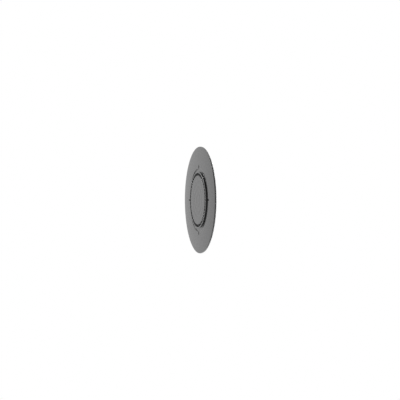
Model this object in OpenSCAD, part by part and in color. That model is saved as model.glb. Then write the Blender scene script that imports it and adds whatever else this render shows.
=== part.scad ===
// Adhesive magnetic phone patch: a round moulded plate with a raised hub and a
// ring of teeth, a flat disc in the hub, a magnet and a steel backing disc in a
// pocket behind it, and a clear double-sided adhesive pad on the back.
// The hub faces -Y, +Z is up, and the adhesive's back face lies in the plane Y = 0.

/* [Flange] */
// Outer diameter of the round flange
flange_d = 64; // [60:0.5:72]
// Thickness of the flange at its outer edge
edge_t = 0.7; // [0.55:0.05:0.9]
// Height of the flange's front where it meets the moat, above the flange's back
crest_h = 1.2; // [1:0.05:1.5]
// How the front curves: 0 is a plain cone, 1 is level at the moat and steep at the edge
front_curve = 0.6; // [0:0.05:1]
// Small bevel around the flange's front edge
edge_bevel = 0.08; // [0.05:0.01:0.3]

/* [Moat and notches] */
// Width of the ring-shaped moat around the collar
moat_w = 2; // [1.4:0.1:2.6]
// Depth of the moat below the flange's front
moat_depth = 0.4; // [0.3:0.05:0.6]
// Number of locating notches that open off the moat
notch_count = 4; // [2:1:8]
// Width of a notch
notch_w = 1.1; // [0.8:0.05:1.8]
// How far a notch reaches out past the moat
notch_reach = 1.8; // [1.2:0.1:4]

/* [Collar] */
// Outer diameter of the collar that the mount's socket closes around
collar_d = 34; // [32:0.2:40]
// Wall thickness of the collar
collar_wall = 0.8; // [0.6:0.05:1.4]
// Height of the collar's rim above the flange's back
collar_h = 1.9; // [1.8:0.05:2.4]
// Bevel on both edges of the collar's rim
collar_bevel = 0.12; // [0.05:0.01:0.25]

/* [Ring of teeth] */
// Number of teeth around the groove inside the collar
tooth_count = 48; // [24:2:60]
// Width of one tooth
tooth_w = 0.4; // [0.3:0.02:0.7]
// Width of the groove that the teeth bridge
groove_w = 1.45; // [1:0.05:1.8]
// Depth of the groove below the collar's rim
groove_depth = 0.65; // [0.4:0.05:0.8]

/* [Centre disc] */
// Play between the disc's edge and the ends of the teeth
disc_play = 0.05; // [0.02:0.01:0.15]
// How far the disc's face lies below the collar's rim
disc_drop = 0.03; // [0:0.01:0.1]
// Bevel on the disc's front edge
disc_bevel = 0.08; // [0.02:0.01:0.15]

/* [Magnet and backing disc] */
// Web between the centre disc and the magnet
web_t = 0.3; // [0.25:0.05:0.4]
// Thickness of the steel backing disc behind the magnet
backing_t = 0.3; // [0.2:0.05:0.35]
// How far the pocket's wall stands in from the centre disc's edge
pocket_inset = 0.6; // [0.4:0.1:2]
// Play between the pocket's wall and the magnet or the backing disc
pocket_play = 0.1; // [0.05:0.01:0.2]

/* [Adhesive pad] */
// Thickness of the clear adhesive pad
pad_t = 0.5; // [0.2:0.05:1.2]
// How far the pad's edge stands in from the flange's edge
pad_inset = 0.8; // [0.3:0.1:2]

/* [Hidden] */
$fn = 128;
dome_steps = 10;
lip_bevel = 0.1;
root_sink = 0.15;
flange_r = flange_d / 2;
collar_r = collar_d / 2;
moat_r = collar_r + moat_w;
moat_floor = crest_h - moat_depth;
groove_r = collar_r - collar_wall;
groove_floor = collar_h - groove_depth;
disc_h = collar_h - disc_drop;
tooth_in_r = groove_r - groove_w;
disc_r = tooth_in_r - disc_play;
pocket_r = disc_r - pocket_inset;
pocket_top = groove_floor - web_t;
magnet_t = pocket_top - backing_t;
insert_r = pocket_r - pocket_play;
pad_r = flange_r - pad_inset;
crest_r = moat_r + lip_bevel;
shoulder_r = flange_r - edge_bevel;

// Height of the flange's curved front; share is 0 at the moat and 1 at the outer edge
function front_h(share) =
    crest_h - (crest_h - edge_t) * share * (1 - front_curve + front_curve * share);

// Points along the curved front, from the outer edge in to the moat
function front_points() = [
    for (i = [0 : dome_steps])
        let (share = 1 - i / dome_steps)
        [crest_r + (shoulder_r - crest_r) * share, front_h(share)]
];

// Half section of the plate: flange, moat, collar, web and the pocket in the back
module plate_section() {
    polygon(concat(
        [[pocket_r, 0], [flange_r, 0], [flange_r, edge_t - edge_bevel]],
        front_points(),
        [
            [moat_r, crest_h - lip_bevel],
            [moat_r, moat_floor],
            [collar_r, moat_floor],
            [collar_r, collar_h - collar_bevel],
            [collar_r - collar_bevel, collar_h],
            [groove_r + collar_bevel, collar_h],
            [groove_r, collar_h - collar_bevel],
            [groove_r, groove_floor],
            [0, groove_floor],
            [0, pocket_top],
            [pocket_r, pocket_top]
        ]
    ));
}

// One notch: a straight slot with a round outer end, level with the moat's floor
module notch_cut() {
    end_r = moat_r + notch_reach - notch_w / 2;
    start_r = moat_r - moat_w / 2;
    translate([start_r, -notch_w / 2, moat_floor])
        cube([end_r - start_r, notch_w, crest_h]);
    translate([end_r, 0, moat_floor])
        cylinder(d = notch_w, h = crest_h);
}

// One tooth: a narrow rib across the groove, rooted in the collar and the web
module tooth() {
    translate([tooth_in_r, -tooth_w / 2, groove_floor - root_sink])
        cube([groove_w + root_sink, tooth_w, disc_h - groove_floor + root_sink]);
}

module plate_body() {
    difference() {
        rotate_extrude() plate_section();
        for (i = [0 : notch_count - 1])
            rotate([0, 0, i * 360 / notch_count]) notch_cut();
    }
    for (i = [0 : tooth_count - 1])
        rotate([0, 0, (i + 0.5) * 360 / tooth_count]) tooth();
}

// Flat disc in the hub, seated on the web inside the ring of teeth
module disc_body() {
    rotate_extrude()
        polygon([
            [0, groove_floor],
            [disc_r, groove_floor],
            [disc_r, disc_h - disc_bevel],
            [disc_r - disc_bevel, disc_h],
            [0, disc_h]
        ]);
}

// Turns the stack from lying on its back to standing with the hub towards -Y
module upright() {
    rotate([90, 0, 0]) translate([0, 0, pad_t]) children();
}

module patch_plate() {
    color([0.16, 0.16, 0.165]) upright() plate_body();
}

module centre_disc() {
    color([0.2, 0.2, 0.205]) upright() disc_body();
}

module magnet() {
    color([0.62, 0.61, 0.58])
        upright() translate([0, 0, backing_t]) cylinder(r = insert_r, h = magnet_t);
}

module backing_disc() {
    color([0.55, 0.56, 0.58])
        upright() cylinder(r = insert_r, h = backing_t);
}

module adhesive_pad() {
    color([0.9, 0.93, 0.95, 0.4])
        upright() translate([0, 0, -pad_t]) cylinder(r = pad_r, h = pad_t);
}

patch_plate();
centre_disc();
magnet();
backing_disc();
adhesive_pad();
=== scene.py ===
import math

import bmesh
import bpy
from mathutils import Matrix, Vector


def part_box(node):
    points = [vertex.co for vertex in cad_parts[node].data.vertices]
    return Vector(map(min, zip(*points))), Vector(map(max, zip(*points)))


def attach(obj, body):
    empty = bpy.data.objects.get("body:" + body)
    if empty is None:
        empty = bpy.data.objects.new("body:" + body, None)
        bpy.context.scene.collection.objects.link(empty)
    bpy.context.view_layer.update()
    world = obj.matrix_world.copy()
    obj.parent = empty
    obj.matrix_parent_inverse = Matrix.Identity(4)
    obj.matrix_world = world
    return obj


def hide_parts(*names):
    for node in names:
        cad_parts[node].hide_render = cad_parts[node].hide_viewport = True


bl_info = {
    "name": "Adhesive Magnetic Phone Patch",
    "version": (1, 0, 0),
    "blender": (4, 5, 0),
    "location": "View3D > Sidebar > Patch",
    "description": "Builds the round moulded patch, its metal inserts and clear adhesive pad",
    "category": "Object",
}

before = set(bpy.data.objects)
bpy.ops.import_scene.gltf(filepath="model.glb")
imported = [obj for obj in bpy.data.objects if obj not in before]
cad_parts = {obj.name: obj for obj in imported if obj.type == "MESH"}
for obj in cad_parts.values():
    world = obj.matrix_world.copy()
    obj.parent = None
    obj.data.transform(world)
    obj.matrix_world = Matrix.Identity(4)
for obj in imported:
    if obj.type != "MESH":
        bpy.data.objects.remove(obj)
bpy.ops.object.select_all(action="DESELECT")
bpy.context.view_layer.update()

PAD_LOW, PAD_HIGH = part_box("adhesive_pad")
PLATE_LOW, PLATE_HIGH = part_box("patch_plate")
DISC_LOW, DISC_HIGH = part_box("centre_disc")

# Heights are measured towards -Y from the plate's back, which lies on the pad's front
PLATE_BACK = PLATE_HIGH.y
FLANGE_R = PLATE_HIGH.z
RIM_H = PLATE_BACK - PLATE_LOW.y

MM = 0.001
TURN = 2 * math.pi
SHARP_ANGLE = math.radians(30)
MERGE_WITHIN = 0.0005 * MM
CORNER_WITHIN = 0.004 * MM

PLATE_STEPS = 240
DISC_STEPS = 192
FRONT_STEPS = 24
RING_STEPS = 72
CORNER_SEGMENTS = 4
NOTCH_CUT_ABOVE = 2 * MM
TOOTH_ROOT = 0.15 * MM
PLAIN_MARGIN = 1.2 * MM
WETTING = 0.02 * MM

PLASTIC_IOR = 1.5
# Colour range of the random patches on the plate and of the painted sheen bands on the disc
PLASTIC_TONES = (0.8, 1.2)
PLASTIC_GLOSS_SWING = 0.008
RING_GLOSS_SWING = 0.03
GRAIN_STRENGTH = 0.2
NICKEL_ROUGHNESS = 0.22
METAL_GLOSS_SWING = 0.07
ROLLED_TONES = (0.6, 1.3)
ROLLED_LINES_PER_METRE = (12.0, 12.0, 1500.0)
ROLLED_DEPTH = 0.003 * MM
ROLLED_STRENGTH = 0.5
ADHESIVE_IOR = 1.47
ADHESIVE_TONES = (0.96, 1.0)
ADHESIVE_GLOSS_SWING = 0.04
ADHESIVE_CLOUDS_PER_METRE = 60.0
ADHESIVE_SHADOW = (0.95, 0.95, 0.95, 1.0)
WHITE = (1, 1, 1, 1)


def length_property(label, text, value):
    """A length."""
    return bpy.props.FloatProperty(
        name=label, description=text, default=value, min=0.0, precision=6, unit="LENGTH"
    )


def count_property(label, text, value, low, high):
    """A number of like features."""
    return bpy.props.IntProperty(name=label, description=text, default=value, min=low, max=high)


def colour_property(label, text, value):
    """A colour."""
    return bpy.props.FloatVectorProperty(
        name=label, description=text, default=value, size=3, min=0.0, max=1.0, subtype="COLOR"
    )


def share_property(label, text, value):
    """A share from 0 to 1, such as a roughness or a level of light."""
    return bpy.props.FloatProperty(
        name=label, description=text, default=value, min=0.0, max=1.0, subtype="FACTOR"
    )


def place_property(label, text, value):
    """A place in the patch's own frame."""
    return bpy.props.FloatVectorProperty(
        name=label, description=text, default=value, size=3, subtype="TRANSLATION", unit="LENGTH"
    )


def power_property(label, text, value):
    """The power of a lamp."""
    return bpy.props.FloatProperty(
        name=label, description=text, default=value, min=0.0, unit="POWER"
    )


class PatchPlateSettings(bpy.types.PropertyGroup):
    """Sizes and finish of the moulded plate."""

    edge_t: length_property("Edge thickness", "Thickness of the outer edge", 0.7 * MM)
    crest_h: length_property("Crest height", "Height of the front at the moat", 1.2 * MM)
    front_curve: share_property("Front curve", "0 is a cone, 1 is level at the moat", 0.6)
    collar_r: length_property("Collar radius", "Outer radius of the collar", 17.0 * MM)
    collar_wall: length_property("Collar wall", "Wall thickness of the collar", 0.8 * MM)
    moat_w: length_property("Moat width", "Width of the moat around the collar", 2.0 * MM)
    moat_depth: length_property("Moat depth", "Depth of the moat below the front", 0.4 * MM)
    notch_w: length_property("Notch width", "Width of a locating notch", 1.1 * MM)
    notch_reach: length_property("Notch reach", "How far it reaches past the moat", 1.8 * MM)
    notch_count: count_property("Notches", "Number of locating notches", 4, 1, 12)
    groove_w: length_property("Groove width", "Width that the teeth bridge", 1.45 * MM)
    groove_depth: length_property("Groove depth", "Depth below the rim", 0.65 * MM)
    tooth_w: length_property("Tooth width", "Width of one tooth", 0.4 * MM)
    tooth_count: count_property("Teeth", "Number of teeth around the groove", 48, 6, 90)
    tooth_round: length_property("Tooth rounding", "Rounding of a tooth's top", 0.14 * MM)
    pocket_r: length_property("Pocket radius", "Radius of the pocket in the back", 14.1 * MM)
    pocket_depth: length_property("Pocket depth", "Depth of that pocket", 0.95 * MM)
    edge_round: length_property("Edge rounding", "Rounding of moulded edges", 0.05 * MM)
    colour: colour_property("Plastic", "Colour of the plastic", (0.016, 0.016, 0.0168))
    roughness: share_property("Roughness", "Roughness of the moulded plastic", 0.22)
    grain_height: length_property("Grain height", "Height of the moulded grain", 0.004 * MM)


class CentreDiscSettings(bpy.types.PropertyGroup):
    """Sizes and finish of the disc in the hub."""

    edge_round: length_property("Edge rounding", "Rounding of the front edge", 0.08 * MM)
    ring_pitch: length_property("Ring pitch", "From one shallow ring to the next", 3.6 * MM)
    ring_depth: length_property("Ring depth", "Depth of the shallow rings", 0.036 * MM)
    colour: colour_property("Plastic", "Colour of the disc", (0.016, 0.016, 0.0168))
    roughness: share_property("Roughness", "Roughness of the disc", 0.24)
    grain_height: length_property("Grain height", "Height of the disc's grain", 0.001 * MM)


class MetalInsertSettings(bpy.types.PropertyGroup):
    """Finish of the magnet and the steel disc behind it."""

    nickel: colour_property("Nickel", "Colour of the magnet's plating", (0.66, 0.64, 0.6))
    steel: colour_property("Steel", "Colour of the backing disc", (0.5, 0.5, 0.51))
    roughness: share_property("Roughness", "Roughness of the rolled steel", 0.34)


class AdhesivePadSettings(bpy.types.PropertyGroup):
    """Finish of the clear adhesive pad."""

    tint: colour_property("Tint", "Colour of the clear adhesive", (0.97, 0.98, 0.985))
    roughness: share_property("Roughness", "Roughness of the adhesive's surface", 0.12)
    edge_round: length_property("Edge rounding", "Rounding of the die-cut edge", 0.08 * MM)


class StudioSettings(bpy.types.PropertyGroup):
    """Camera, floor, soft light and lamps."""

    view_angle: bpy.props.FloatProperty(
        name="View angle",
        description="Angle between the hub's axis and the line of sight",
        default=math.radians(73.55),
        subtype="ANGLE",
    )
    distance: length_property("Distance", "From the camera to the patch", 1.21)
    side_step: length_property("Side step", "Camera's step to the right", 0.29 * MM)
    lens: bpy.props.FloatProperty(
        name="Lens", description="Focal length", default=181.5, unit="CAMERA"
    )
    floor_drop: length_property("Floor drop", "Floor's depth below the hub's centre", 0.2)
    floor_width: length_property("Floor width", "Width of the floor", 1.4)
    floor_colour: colour_property("Floor", "Colour of the floor", (0.86, 0.86, 0.86))
    floor_roughness: share_property("Floor roughness", "Roughness of the floor", 0.9)
    floor_glow: share_property("Floor glow", "Glow that makes the floor white", 0.6)
    soft_light: share_property("Soft light", "Level of the light from all around", 0.3)
    lamp_width: length_property("Lamp width", "Width of each soft lamp", 0.5)
    key_place: place_property("Key place", "Place of the key lamp", (-0.55, -0.75, 0.6))
    key_power: power_property("Key power", "Power of the key lamp", 14.0)
    back_place: place_property("Back place", "Place of the back lamp", (-0.5, 0.75, 0.55))
    back_power: power_property("Back power", "Power of the back lamp", 9.0)


def only(obj):
    """Makes obj the one selected and active object."""
    bpy.ops.object.select_all(action="DESELECT")
    obj.select_set(True)
    bpy.context.view_layer.objects.active = obj
    return obj


def select_points(obj, test):
    """In edit mode, selects the points whose place passes the test."""
    mesh = bmesh.from_edit_mesh(obj.data)
    for v in mesh.verts:
        v.select_set(bool(test(v.co)))
    mesh.select_flush_mode()
    bmesh.update_edit_mesh(obj.data)


def section_point(radius, height):
    """Place of a section point in the plane Z = 0."""
    return Vector((radius, PLATE_BACK - height, 0.0))


def draw_section(name, points):
    """Draws a half section point by point, starting from a plane melted to one point."""
    places = [section_point(radius, height) for radius, height in points]
    bpy.ops.mesh.primitive_plane_add(size=MM, location=(0, 0, 0))
    obj = only(bpy.context.object)
    obj.name = obj.data.name = name
    bpy.ops.object.mode_set(mode="EDIT")
    bpy.ops.mesh.select_mode(type="VERT")
    bpy.ops.mesh.select_all(action="SELECT")
    bpy.ops.mesh.merge(type="CENTER")
    bpy.ops.transform.translate(value=places[0])
    for start, end in zip(places, places[1:]):
        bpy.ops.mesh.extrude_vertices_move(TRANSFORM_OT_translate={"value": end - start})
    return obj


def round_corners(obj, corners, size):
    """In edit mode, rounds the section's corners at the given points."""
    places = [section_point(radius, height) for radius, height in corners]
    select_points(obj, lambda co: any((co - place).length < CORNER_WITHIN for place in places))
    bpy.ops.mesh.bevel(
        offset_type="OFFSET", offset=size, segments=CORNER_SEGMENTS, affect="VERTICES"
    )


def spin_section(obj, steps):
    """Spins the section in edit mode about the hub's axis and closes it."""
    bpy.ops.mesh.select_all(action="SELECT")
    bpy.ops.mesh.spin(steps=steps, angle=TURN, center=(0, 0, 0), axis=(0, 1, 0))
    bpy.ops.mesh.select_all(action="SELECT")
    bpy.ops.mesh.remove_doubles(threshold=MERGE_WITHIN)
    bpy.ops.mesh.normals_make_consistent(inside=False)
    bpy.ops.object.mode_set(mode="OBJECT")


def smooth(obj):
    """Smooth shading, with edges past the sharp angle left sharp."""
    only(obj)
    bpy.ops.object.shade_smooth_by_angle(angle=SHARP_ANGLE)


def dress(obj, material):
    """Gives obj one material."""
    obj.data.materials.clear()
    obj.data.materials.append(material)


def block(name, low, high):
    """A cube set to the given corners, left in edit mode with everything selected."""
    bpy.ops.mesh.primitive_cube_add(size=1, location=(0, 0, 0))
    obj = only(bpy.context.object)
    obj.name = obj.data.name = name
    bpy.ops.object.mode_set(mode="EDIT")
    bpy.ops.mesh.select_all(action="SELECT")
    bpy.ops.transform.resize(value=high - low, center_override=(0, 0, 0))
    bpy.ops.transform.translate(value=(low + high) / 2)
    return obj


def copies_around(obj, count, first_turn):
    """Copies obj around the hub's axis and joins the copies into one mesh."""
    made = []
    for i in range(count):
        only(obj)
        bpy.ops.object.duplicate(linked=False)
        copy = bpy.context.object
        copy.rotation_euler = (0, first_turn + i * TURN / count, 0)
        bpy.ops.object.transform_apply(location=False, rotation=True, scale=False)
        made.append(copy)
    bpy.data.objects.remove(obj)
    for copy in made:
        copy.select_set(True)
    bpy.context.view_layer.objects.active = made[0]
    bpy.ops.object.join()
    return bpy.context.object


def combine(obj, other, operation):
    """Adds other to obj or cuts it away, and removes other."""
    only(obj)
    bpy.ops.object.modifier_add(type="BOOLEAN")
    modifier = obj.modifiers[-1]
    modifier.operation = operation
    modifier.solver = "EXACT"
    modifier.object = other
    bpy.ops.object.modifier_apply(modifier=modifier.name)
    bpy.data.objects.remove(other)
    if not obj.data.polygons:
        raise RuntimeError(f"{operation} left nothing of {obj.name}")


def math_node(nodes, links, operation, *values):
    """A Math node fed by sockets or numbers; returns its output."""
    node = nodes.new("ShaderNodeMath")
    node.operation = operation
    for i, value in enumerate(values):
        if isinstance(value, (int, float)):
            node.inputs[i].default_value = value
        else:
            links.new(value, node.inputs[i])
    return node.outputs[0]


def spread(nodes, links, value, low, high):
    """Maps a 0 to 1 value to the range low to high."""
    return math_node(nodes, links, "MULTIPLY_ADD", value, high - low, low)


def start_group(name, inputs, outputs):
    """A node group with number sockets; returns group, given and out."""
    group = bpy.data.node_groups.new(name, "ShaderNodeTree")
    for label, value in inputs.items():
        socket = group.interface.new_socket(
            name=label, in_out="INPUT", socket_type="NodeSocketFloat"
        )
        socket.default_value = value
    for label in outputs:
        group.interface.new_socket(name=label, in_out="OUTPUT", socket_type="NodeSocketFloat")
    return group, group.nodes.new("NodeGroupInput"), group.nodes.new("NodeGroupOutput")


def moulded_grain_group():
    """Fine grain of a moulded surface, and slow patches of handling."""
    if "moulded grain" in bpy.data.node_groups:
        return bpy.data.node_groups["moulded grain"]
    inputs = {"Grain per metre": 4200.0, "Patches per metre": 60.0}
    group, given, out = start_group("moulded grain", inputs, ("Height", "Patches"))
    nodes, links = group.nodes, group.links
    place = nodes.new("ShaderNodeTexCoord")
    for rate, label, detail, roughness in (
        ("Grain per metre", "Height", 2.0, 0.5),
        ("Patches per metre", "Patches", 4.0, 0.6),
    ):
        noise = nodes.new("ShaderNodeTexNoise")
        noise.inputs["Detail"].default_value = detail
        noise.inputs["Roughness"].default_value = roughness
        links.new(place.outputs["Object"], noise.inputs["Vector"])
        links.new(given.outputs[rate], noise.inputs["Scale"])
        links.new(noise.outputs["Fac"], out.inputs[label])
    return group


def ring_bands_group():
    """Slow rings around the hub's axis: 1 on a crest and 0 between crests."""
    group, given, out = start_group("ring bands", {"Rings per metre": 280.0}, ("Rings",))
    nodes, links = group.nodes, group.links
    place = nodes.new("ShaderNodeTexCoord")
    split = nodes.new("ShaderNodeSeparateXYZ")
    links.new(place.outputs["Object"], split.inputs[0])
    xx = math_node(nodes, links, "MULTIPLY", split.outputs["X"], split.outputs["X"])
    zz = math_node(nodes, links, "MULTIPLY", split.outputs["Z"], split.outputs["Z"])
    radius = math_node(nodes, links, "SQRT", math_node(nodes, links, "ADD", xx, zz))
    turns = math_node(nodes, links, "MULTIPLY", radius, given.outputs["Rings per metre"])
    wave = math_node(nodes, links, "COSINE", math_node(nodes, links, "MULTIPLY", turns, TURN))
    links.new(spread(nodes, links, wave, 0.5, 1.0), out.inputs["Rings"])
    return group


def new_material(name):
    """A new node material; returns material, nodes, links and its Principled shader."""
    material = bpy.data.materials.new(name)
    material.use_nodes = True
    nodes, links = material.node_tree.nodes, material.node_tree.links
    return material, nodes, links, nodes["Principled BSDF"]


def add_group(nodes, group, **values):
    """Places a node group in a material and sets its inputs."""
    node = nodes.new("ShaderNodeGroup")
    node.node_tree = group
    for label, value in values.items():
        node.inputs[label.replace("_", " ")].default_value = value
    return node


def shade_colour(nodes, links, value, colour, low, high):
    """The colour, made darker or lighter between low and high by a 0 to 1 value."""
    mix = nodes.new("ShaderNodeMix")
    mix.data_type = "RGBA"
    mix.inputs["A"].default_value = (*[c * low for c in colour], 1.0)
    mix.inputs["B"].default_value = (*[c * high for c in colour], 1.0)
    links.new(value, mix.inputs["Factor"])
    return mix.outputs["Result"]


def bump(nodes, links, height, distance, strength):
    """A Bump node; returns its normal."""
    node = nodes.new("ShaderNodeBump")
    node.inputs["Strength"].default_value = strength
    node.inputs["Distance"].default_value = distance
    links.new(height, node.inputs["Height"])
    return node.outputs["Normal"]


def plastic_material(name, look, ring_pitch=None):
    """Black moulded plastic with a fine grain, and rings where a pitch is given, whose colour is
    painted lighter on each ring crest as painted sheen bands.
    """
    material, nodes, links, shader = new_material(name)
    grain = add_group(nodes, moulded_grain_group())
    tone = grain.outputs["Patches"]
    normal = bump(nodes, links, grain.outputs["Height"], look.grain_height, GRAIN_STRENGTH)
    dull, bright = look.roughness + PLASTIC_GLOSS_SWING, look.roughness - PLASTIC_GLOSS_SWING
    rough = spread(nodes, links, tone, bright, dull)
    if ring_pitch:
        ring_wave = add_group(nodes, ring_bands_group(), Rings_per_metre=1 / ring_pitch)
        tone = ring_wave.outputs["Rings"]
        swing = spread(nodes, links, tone, -RING_GLOSS_SWING, RING_GLOSS_SWING)
        rough = math_node(nodes, links, "ADD", rough, swing)
    # The colour follows the tone: random patches on the plate, and on the disc painted sheen
    # bands that are lighter on each ring crest
    colour = shade_colour(nodes, links, tone, look.colour, *PLASTIC_TONES)
    links.new(colour, shader.inputs["Base Color"])
    links.new(rough, shader.inputs["Roughness"])
    links.new(normal, shader.inputs["Normal"])
    shader.inputs["IOR"].default_value = PLASTIC_IOR
    return material


def metal_material(name, colour, roughness):
    """Rolled metal: fine lines one way, with patches of dull and bright."""
    material, nodes, links, shader = new_material(name)
    place = nodes.new("ShaderNodeTexCoord")
    stretch = nodes.new("ShaderNodeMapping")
    stretch.inputs["Scale"].default_value = ROLLED_LINES_PER_METRE
    lines = nodes.new("ShaderNodeTexNoise")
    lines.inputs["Scale"].default_value = 1.0
    lines.inputs["Detail"].default_value = 4.0
    links.new(place.outputs["Object"], stretch.inputs["Vector"])
    links.new(stretch.outputs["Vector"], lines.inputs["Vector"])
    grain = add_group(nodes, moulded_grain_group())
    dull, bright = roughness + METAL_GLOSS_SWING, roughness - METAL_GLOSS_SWING
    rough = spread(nodes, links, grain.outputs["Patches"], bright, dull)
    tone = shade_colour(nodes, links, lines.outputs["Fac"], colour, *ROLLED_TONES)
    normal = bump(nodes, links, lines.outputs["Fac"], ROLLED_DEPTH, ROLLED_STRENGTH)
    links.new(tone, shader.inputs["Base Color"])
    links.new(rough, shader.inputs["Roughness"])
    links.new(normal, shader.inputs["Normal"])
    shader.inputs["Metallic"].default_value = 1.0
    return material


def adhesive_material(name, look):
    """Clear acrylic adhesive that lets lamp light through to what it covers."""
    material, nodes, links, shader = new_material(name)
    grain = add_group(nodes, moulded_grain_group(), Grain_per_metre=ADHESIVE_CLOUDS_PER_METRE)
    bright = look.roughness * (1 - ADHESIVE_GLOSS_SWING)
    dull = look.roughness * (1 + ADHESIVE_GLOSS_SWING)
    rough = spread(nodes, links, grain.outputs["Patches"], bright, dull)
    links.new(rough, shader.inputs["Roughness"])
    clouds = shade_colour(nodes, links, grain.outputs["Height"], look.tint, *ADHESIVE_TONES)
    links.new(clouds, shader.inputs["Base Color"])
    shader.inputs["Transmission Weight"].default_value = 1.0
    shader.inputs["IOR"].default_value = ADHESIVE_IOR
    clear = nodes.new("ShaderNodeBsdfTransparent")
    clear.inputs["Color"].default_value = ADHESIVE_SHADOW
    path = nodes.new("ShaderNodeLightPath")
    mix = nodes.new("ShaderNodeMixShader")
    links.new(path.outputs["Is Shadow Ray"], mix.inputs["Fac"])
    links.new(shader.outputs["BSDF"], mix.inputs[1])
    links.new(clear.outputs["BSDF"], mix.inputs[2])
    links.new(mix.outputs["Shader"], nodes["Material Output"].inputs["Surface"])
    return material


def front_points(size):
    """Section points of the curved front, from the outer edge to the moat."""
    moat_r = size.collar_r + size.moat_w
    points = []
    for i in range(FRONT_STEPS + 1):
        share = 1 - i / FRONT_STEPS
        fall = share * (1 - size.front_curve + size.front_curve * share)
        height = size.crest_h - (size.crest_h - size.edge_t) * fall
        points.append((moat_r + (FLANGE_R - moat_r) * share, height))
    return points


def plate_section(size):
    """The plate's half section, and its corners to round, as (radius, height) points."""
    moat_r = size.collar_r + size.moat_w
    moat_floor = size.crest_h - size.moat_depth
    groove_r = size.collar_r - size.collar_wall
    groove_floor = RIM_H - size.groove_depth
    front = front_points(size)
    moat = [(moat_r, moat_floor), (size.collar_r, moat_floor)]
    rim = [(size.collar_r, RIM_H), (groove_r, RIM_H)]
    web = [(groove_r, groove_floor), (0.0, groove_floor), (0.0, size.pocket_depth)]
    pocket = [(size.pocket_r, size.pocket_depth), (size.pocket_r, 0.0)]
    section = pocket + [(FLANGE_R, 0.0)] + front + moat + rim + web + pocket[:1]
    soft = [front[0], front[-1]] + moat + rim
    return section, soft


class PATCH_OT_moulded_plate(bpy.types.Operator):
    """Models the plate: flange, moat, notches, collar, ring of teeth and the back's pocket"""

    bl_idname = "phone_patch.moulded_plate"
    bl_label = "Moulded plate"

    def execute(self, context):
        size = context.scene.patch_plate
        section, soft = plate_section(size)
        plate = draw_section("plate", section)
        bpy.ops.mesh.select_all(action="SELECT")
        bpy.ops.mesh.remove_doubles(threshold=MERGE_WITHIN)
        round_corners(plate, soft, size.edge_round)
        spin_section(plate, PLATE_STEPS)
        combine(plate, self.notch_cutters(size), "DIFFERENCE")
        combine(plate, self.teeth(size), "UNION")
        smooth(plate)
        dress(plate, plastic_material("moulded plastic", size))
        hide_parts("patch_plate")
        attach(plate, "root")
        return {"FINISHED"}

    def notch_cutters(self, size):
        """One square-ended slot for each notch, level with the moat's floor."""
        moat_r = size.collar_r + size.moat_w
        floor = PLATE_BACK - (size.crest_h - size.moat_depth)
        half = size.notch_w / 2
        low = Vector((moat_r - size.moat_w / 2, floor - NOTCH_CUT_ABOVE, -half))
        high = Vector((moat_r + size.notch_reach, floor, half))
        cutter = block("notch", low, high)
        bpy.ops.object.mode_set(mode="OBJECT")
        return copies_around(cutter, size.notch_count, 0.0)

    def teeth(self, size):
        """The ring of narrow ribs that bridge the groove, with rounded tops."""
        groove_r = size.collar_r - size.collar_wall
        floor = PLATE_LOW.y + size.groove_depth
        half = size.tooth_w / 2
        low = Vector((groove_r - size.groove_w, DISC_LOW.y, -half))
        high = Vector((groove_r + TOOTH_ROOT, floor + TOOTH_ROOT, half))
        tooth = block("tooth", low, high)
        select_points(tooth, lambda co: co.y < (low.y + high.y) / 2)
        bpy.ops.mesh.bevel(
            offset_type="OFFSET",
            offset=size.tooth_round,
            segments=CORNER_SEGMENTS,
            affect="EDGES",
        )
        bpy.ops.object.mode_set(mode="OBJECT")
        return copies_around(tooth, size.tooth_count, TURN / size.tooth_count / 2)


class PATCH_OT_centre_disc(bpy.types.Operator):
    """Models the flat disc in the hub, with its shallow rings"""

    bl_idname = "phone_patch.centre_disc"
    bl_label = "Centre disc"

    def execute(self, context):
        size = context.scene.centre_disc
        radius = DISC_HIGH.z
        top = PLATE_BACK - DISC_LOW.y
        foot = PLATE_BACK - DISC_HIGH.y
        face = []
        for i in range(RING_STEPS + 1):
            r = (radius - PLAIN_MARGIN) * (1 - i / RING_STEPS)
            dip = 0.5 - 0.5 * math.cos(TURN * r / size.ring_pitch)
            face.append((r, top - size.ring_depth * dip))
        disc = draw_section("hub_disc", [(0.0, foot), (radius, foot), (radius, top)] + face)
        round_corners(disc, [(radius, top)], size.edge_round)
        spin_section(disc, DISC_STEPS)
        smooth(disc)
        # The disc's colour carries painted sheen bands, lighter on each ring crest
        dress(disc, plastic_material("ringed plastic with painted sheen", size, size.ring_pitch))
        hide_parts("centre_disc")
        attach(disc, "root")
        return {"FINISHED"}


class PATCH_OT_metal_inserts(bpy.types.Operator):
    """Gives the magnet its nickel plating and the backing disc its rolled steel"""

    bl_idname = "phone_patch.metal_inserts"
    bl_label = "Metal inserts"

    def execute(self, context):
        look = context.scene.metal_inserts
        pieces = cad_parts
        nickel = metal_material("nickel plating", look.nickel, NICKEL_ROUGHNESS)
        steel = metal_material("rolled steel", look.steel, look.roughness)
        dress(pieces["magnet"], nickel)
        dress(pieces["backing_disc"], steel)
        return {"FINISHED"}


class PATCH_OT_adhesive_pad(bpy.types.Operator):
    """Models the clear adhesive pad, wetted onto the plate's back"""

    bl_idname = "phone_patch.adhesive_pad"
    bl_label = "Adhesive pad"

    def execute(self, context):
        look = context.scene.adhesive_pad
        radius = PAD_HIGH.z
        back = PAD_LOW.y - PAD_HIGH.y
        section = [(0.0, back), (radius, back), (radius, WETTING), (0.0, WETTING)]
        pad = draw_section("pad", section)
        round_corners(pad, [(radius, back)], look.edge_round)
        spin_section(pad, PLATE_STEPS)
        smooth(pad)
        dress(pad, adhesive_material("clear adhesive", look))
        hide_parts("adhesive_pad")
        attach(pad, "root")
        return {"FINISHED"}


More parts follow.
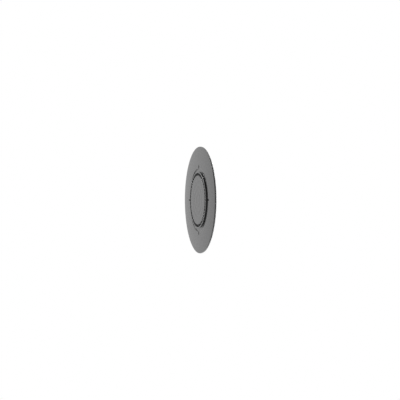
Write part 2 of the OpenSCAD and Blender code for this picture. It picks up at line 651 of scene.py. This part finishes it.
class PATCH_OT_studio(bpy.types.Operator):
    """Sets the camera, the pale floor, the lamps and the white surround"""

    bl_idname = "phone_patch.studio"
    bl_label = "Studio"

    def execute(self, context):
        look = context.scene.studio
        self.camera(context.scene, look)
        self.floor(look)
        self.surround(context.scene, look)
        self.lamp("key", look.key_place, look.lamp_width, look.key_power)
        self.lamp("back", look.back_place, look.lamp_width, look.back_power)
        context.scene.view_settings.view_transform = "Standard"
        return {"FINISHED"}

    def camera(self, scene, look):
        """The camera, to the side of the hub at the height of its centre."""
        data = bpy.data.cameras.new("camera")
        data.lens = look.lens
        cam = bpy.data.objects.new("camera", data)
        scene.collection.objects.link(cam)
        rim = Vector((0, PLATE_BACK - scene.patch_plate.edge_t, 0))
        back = Vector((math.sin(look.view_angle), -math.cos(look.view_angle), 0))
        right = Vector((-back.y, back.x, 0))
        cam.location = rim + back * look.distance + right * look.side_step
        cam.rotation_euler = (-back).to_track_quat("-Z", "Y").to_euler()
        scene.camera = cam

    def floor(self, look):
        """A wide pale floor below the patch, white where it is seen but still shaded."""
        bpy.ops.mesh.primitive_plane_add(size=look.floor_width, location=(0, 0, -look.floor_drop))
        floor = bpy.context.object
        floor.name = "floor"
        material, nodes, links, shader = new_material("floor")
        shader.inputs["Base Color"].default_value = (*look.floor_colour, 1.0)
        shader.inputs["Roughness"].default_value = look.floor_roughness
        shader.inputs["Emission Color"].default_value = WHITE
        glow = math_node(nodes, links, "MULTIPLY", self.seen(nodes, links), look.floor_glow)
        links.new(glow, shader.inputs["Emission Strength"])
        dress(floor, material)

    def seen(self, nodes, links):
        """1 for rays of the camera, of gloss and through the clear pad, 0 for the rest."""
        path = nodes.new("ShaderNodeLightPath")
        direct, gloss = path.outputs["Is Camera Ray"], path.outputs["Is Glossy Ray"]
        shown = math_node(nodes, links, "MAXIMUM", direct, gloss)
        return math_node(nodes, links, "MAXIMUM", shown, path.outputs["Is Transmission Ray"])

    def surround(self, scene, look):
        """White where it is seen or mirrored, with a plain level of soft light."""
        world = bpy.data.worlds.new("studio")
        scene.world = world
        world.use_nodes = True
        nodes, links = world.node_tree.nodes, world.node_tree.links
        shader = nodes["Background"]
        shader.inputs["Color"].default_value = WHITE
        level = spread(nodes, links, self.seen(nodes, links), look.soft_light, 1.0)
        links.new(level, shader.inputs["Strength"])

    def lamp(self, name, place, width, power):
        """A soft square lamp turned to the patch."""
        data = bpy.data.lights.new(name, "AREA")
        data.size = width
        data.energy = power
        lamp = bpy.data.objects.new(name, data)
        bpy.context.scene.collection.objects.link(lamp)
        lamp.location = place
        lamp.rotation_euler = (-Vector(place)).to_track_quat("-Z", "Y").to_euler()


class PATCH_PT_sidebar(bpy.types.Panel):
    """The patch's pieces and the studio, in the 3D view's sidebar"""

    bl_idname = "PATCH_PT_sidebar"
    bl_label = "Phone Patch"
    bl_space_type = "VIEW_3D"
    bl_region_type = "UI"
    bl_category = "Patch"

    def draw(self, context):
        for group, operator in PARTS:
            box = self.layout.box()
            box.operator(operator.bl_idname)
            settings = getattr(context.scene, group)
            for label in settings.__annotations__:
                box.prop(settings, label)


SETTINGS = {
    "patch_plate": PatchPlateSettings,
    "centre_disc": CentreDiscSettings,
    "metal_inserts": MetalInsertSettings,
    "adhesive_pad": AdhesivePadSettings,
    "studio": StudioSettings,
}
PARTS = (
    ("patch_plate", PATCH_OT_moulded_plate),
    ("centre_disc", PATCH_OT_centre_disc),
    ("metal_inserts", PATCH_OT_metal_inserts),
    ("adhesive_pad", PATCH_OT_adhesive_pad),
    ("studio", PATCH_OT_studio),
)
CLASSES = (*SETTINGS.values(), *[operator for _, operator in PARTS], PATCH_PT_sidebar)


def register():
    for cls in CLASSES:
        bpy.utils.register_class(cls)
    for name, cls in SETTINGS.items():
        setattr(bpy.types.Scene, name, bpy.props.PointerProperty(type=cls))


def unregister():
    for name in SETTINGS:
        delattr(bpy.types.Scene, name)
    for cls in reversed(CLASSES):
        bpy.utils.unregister_class(cls)


def main():
    register()
    bpy.ops.phone_patch.moulded_plate()
    bpy.ops.phone_patch.centre_disc()
    bpy.ops.phone_patch.metal_inserts()
    bpy.ops.phone_patch.adhesive_pad()
    bpy.ops.phone_patch.studio()
    bpy.ops.object.select_all(action="DESELECT")


if __name__ == "__main__":
    main()
